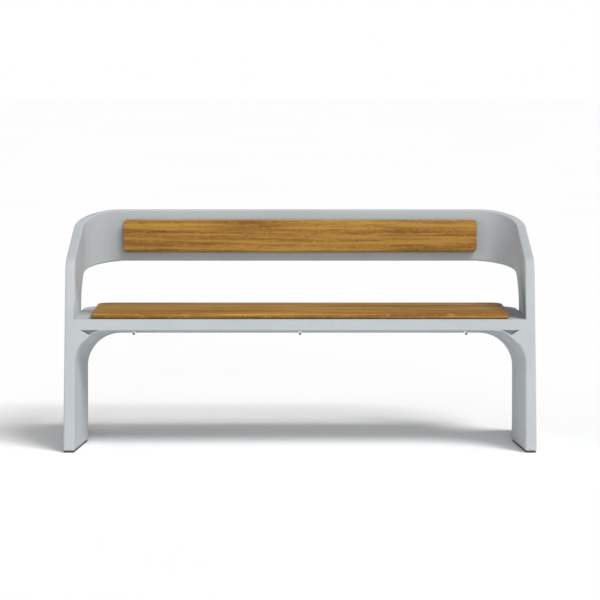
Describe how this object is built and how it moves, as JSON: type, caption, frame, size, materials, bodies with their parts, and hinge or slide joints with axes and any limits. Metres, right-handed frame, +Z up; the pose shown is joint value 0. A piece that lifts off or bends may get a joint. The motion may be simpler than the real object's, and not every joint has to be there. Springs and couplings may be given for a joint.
{
  "type": "bench",
  "caption": "Street bench with a one-piece cast concrete shell for legs, seat, arms and back, and bolted wooden seat and back panels.",
  "frame": {"origin": "on the floor, under the middle of the bench's overall length and depth", "axes": "+X along the length, +Y from the front edge to the back, +Z up"},
  "size_m": [1.6, 0.5913, 0.783],
  "materials": {
    "concrete": "smooth fair-faced cast concrete, pale blue-grey, matte",
    "teak": "oiled hardwood, grain along the length, satin",
    "steel": "stainless steel, satin",
    "brass": "plain turned brass",
    "nylon": "moulded nylon, matte",
    "rubber": "matte rubber"
  },
  "bodies": {
    "root": {"shell": "concrete", "seat_panel": "teak", "back_panel": "teak", "right_foot_pad": "rubber", "left_foot_pad": "rubber", "seat_front_left_insert": "brass", "seat_front_left_spacer": "nylon", "seat_front_left_washer": "steel", "seat_front_left_nut": "steel", "seat_front_left_stud": "steel", "seat_rear_left_insert": "brass", "seat_rear_left_spacer": "nylon", "seat_rear_left_washer": "steel", "seat_rear_left_nut": "steel", "seat_rear_left_stud": "steel", "seat_front_middle_insert": "brass", "seat_front_middle_spacer": "nylon", "seat_front_middle_washer": "steel", "seat_front_middle_nut": "steel", "seat_front_middle_stud": "steel", "seat_rear_middle_insert": "brass", "seat_rear_middle_spacer": "nylon", "seat_rear_middle_washer": "steel", "seat_rear_middle_nut": "steel", "seat_rear_middle_stud": "steel", "seat_front_right_insert": "brass", "seat_front_right_spacer": "nylon", "seat_front_right_washer": "steel", "seat_front_right_nut": "steel", "seat_front_right_stud": "steel", "seat_rear_right_insert": "brass", "seat_rear_right_spacer": "nylon", "seat_rear_right_washer": "steel", "seat_rear_right_nut": "steel", "seat_rear_right_stud": "steel", "back_left_insert": "brass", "back_left_spacer": "nylon", "back_left_washer": "steel", "back_left_bolt": "steel", "back_middle_insert": "brass", "back_middle_spacer": "nylon", "back_middle_washer": "steel", "back_middle_bolt": "steel", "back_right_insert": "brass", "back_right_spacer": "nylon", "back_right_washer": "steel", "back_right_bolt": "steel"}
  },
  "joints": []
}
